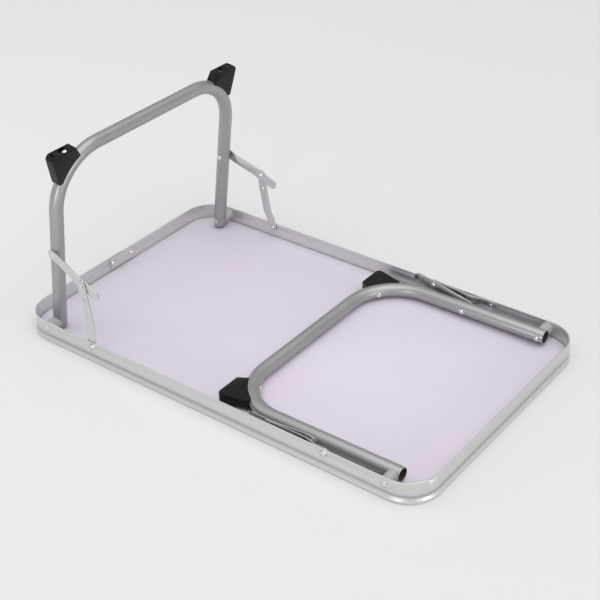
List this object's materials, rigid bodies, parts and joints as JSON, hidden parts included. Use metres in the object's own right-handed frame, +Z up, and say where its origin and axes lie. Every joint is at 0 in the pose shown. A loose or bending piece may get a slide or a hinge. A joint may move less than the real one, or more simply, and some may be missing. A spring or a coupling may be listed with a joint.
{
  "type": "folding table",
  "caption": "Low folding table lying face down, with an aluminium-edged top, U-shaped tube legs, corner feet and riveted folding stays.",
  "frame": {"origin": "centre of the tabletop's upper face, which lies on the floor, at the rail lip's flat", "axes": "+X along the length towards the folded leg's pivot, +Y to the rear, +Z up, away from the tabletop's underside"},
  "size_m": [0.56, 0.336, 0.2443],
  "materials": {
    "board": "smooth pale lavender laminate on the underside",
    "rail_aluminium": "satin extruded",
    "leg_paint": "satin silver-grey paint",
    "stay_zinc": "bright zinc plating",
    "rivet_steel": "bright, lightly domed heads",
    "foot_plastic": "satin charcoal",
    "bush_plastic": "light grey"
  },
  "bodies": {
    "top": {"tabletop_board": "board", "edge_rail": "rail_aluminium", "rail_splice_plate": "rail_aluminium", "splice_rivets": "rivet_steel", "left_rear_pivot_rivet": "rivet_steel", "left_rear_stay_rail_rivet": "rivet_steel", "left_front_pivot_rivet": "rivet_steel", "left_front_stay_rail_rivet": "rivet_steel", "right_rear_pivot_rivet": "rivet_steel", "right_rear_stay_rail_rivet": "rivet_steel", "right_front_pivot_rivet": "rivet_steel", "right_front_stay_rail_rivet": "rivet_steel"},
    "left_leg": {"left_leg_tube": "leg_paint", "left_rear_leg_bush": "bush_plastic", "left_rear_foot": "foot_plastic", "left_rear_foot_rivet": "rivet_steel", "left_rear_stay_leg_rivet": "rivet_steel", "left_front_leg_bush": "bush_plastic", "left_front_foot": "foot_plastic", "left_front_foot_rivet": "rivet_steel", "left_front_stay_leg_rivet": "rivet_steel"},
    "right_leg": {"right_leg_tube": "leg_paint", "right_rear_leg_bush": "bush_plastic", "right_rear_foot": "foot_plastic", "right_rear_foot_rivet": "rivet_steel", "right_rear_stay_leg_rivet": "rivet_steel", "right_front_leg_bush": "bush_plastic", "right_front_foot": "foot_plastic", "right_front_foot_rivet": "rivet_steel", "right_front_stay_leg_rivet": "rivet_steel"},
    "left_rear_lower_stay": {"left_rear_lower_link": "stay_zinc"},
    "left_rear_upper_stay": {"left_rear_upper_link": "stay_zinc", "left_rear_upper_link_rivet": "rivet_steel", "left_rear_knee_rivet": "rivet_steel"},
    "left_front_lower_stay": {"left_front_lower_link": "stay_zinc"},
    "left_front_upper_stay": {"left_front_upper_link": "stay_zinc", "left_front_upper_link_rivet": "rivet_steel", "left_front_knee_rivet": "rivet_steel"},
    "right_rear_lower_stay": {"right_rear_lower_link": "stay_zinc"},
    "right_rear_upper_stay": {"right_rear_upper_link": "stay_zinc", "right_rear_upper_link_rivet": "rivet_steel", "right_rear_knee_rivet": "rivet_steel"},
    "right_front_lower_stay": {"right_front_lower_link": "stay_zinc"},
    "right_front_upper_stay": {"right_front_upper_link": "stay_zinc", "right_front_upper_link_rivet": "rivet_steel", "right_front_knee_rivet": "rivet_steel"}
  },
  "joints": [
    {"name": "left_leg_fold", "type": "hinge", "parent": "top", "child": "left_leg", "pos_m": [-0.2375, 0, 0.01917], "axis": [0, -1, 0], "range_deg": [-82.3, 15.5]},
    {"name": "right_leg_fold", "type": "hinge", "parent": "top", "child": "right_leg", "pos_m": [0.2375, 0, 0.01917], "axis": [0, 1, 0], "range_deg": [0, 97.8]},
    {"name": "left_front_stay_at_rail", "type": "hinge", "parent": "top", "child": "left_front_lower_stay", "pos_m": [-0.1634, -0.163, 0.021], "axis": [0, -1, 0], "range_deg": [-99.9, 18.83]},
    {"name": "left_front_stay_knee", "type": "hinge", "parent": "left_front_lower_stay", "child": "left_front_upper_stay", "pos_m": [-0.17478, -0.159, 0.09659], "axis": [0, -1, 0], "range_deg": [-23.2, 123.11]},
    {"name": "left_rear_stay_at_rail", "type": "hinge", "parent": "top", "child": "left_rear_lower_stay", "pos_m": [-0.1634, 0.163, 0.021], "axis": [0, -1, 0], "range_deg": [-99.9, 18.83]},
    {"name": "left_rear_stay_knee", "type": "hinge", "parent": "left_rear_lower_stay", "child": "left_rear_upper_stay", "pos_m": [-0.17478, 0.159, 0.09659], "axis": [0, -1, 0], "range_deg": [-23.2, 123.11]},
    {"name": "right_front_stay_at_rail", "type": "hinge", "parent": "top", "child": "right_front_lower_stay", "pos_m": [0.1634, -0.163, 0.021], "axis": [0, 1, 0], "range_deg": [0, 133.48]},
    {"name": "right_front_stay_knee", "type": "hinge", "parent": "right_front_lower_stay", "child": "right_front_upper_stay", "pos_m": [0.08698, -0.159, 0.01924], "axis": [0, 1, 0], "range_deg": [-182.35, 0]},
    {"name": "right_rear_stay_at_rail", "type": "hinge", "parent": "top", "child": "right_rear_lower_stay", "pos_m": [0.1634, 0.163, 0.021], "axis": [0, 1, 0], "range_deg": [0, 128.69]},
    {"name": "right_rear_stay_knee", "type": "hinge", "parent": "right_rear_lower_stay", "child": "right_rear_upper_stay", "pos_m": [0.0871, 0.159, 0.02564], "axis": [0, 1, 0], "range_deg": [-184.54, 0]}
  ],
  "couplings": [
    {"joint": "left_front_stay_at_rail", "follows": "left_leg_fold", "ratio": 1.2137},
    {"joint": "left_front_stay_knee", "follows": "left_leg_fold", "ratio": -1.4958},
    {"joint": "left_rear_stay_at_rail", "follows": "left_leg_fold", "ratio": 1.2137},
    {"joint": "left_rear_stay_knee", "follows": "left_leg_fold", "ratio": -1.4958},
    {"joint": "right_front_stay_at_rail", "follows": "right_leg_fold", "ratio": 1.3647},
    {"joint": "right_front_stay_knee", "follows": "right_leg_fold", "ratio": -1.8644},
    {"joint": "right_rear_stay_at_rail", "follows": "right_leg_fold", "ratio": 1.3157},
    {"joint": "right_rear_stay_knee", "follows": "right_leg_fold", "ratio": -1.8868}
  ]
}
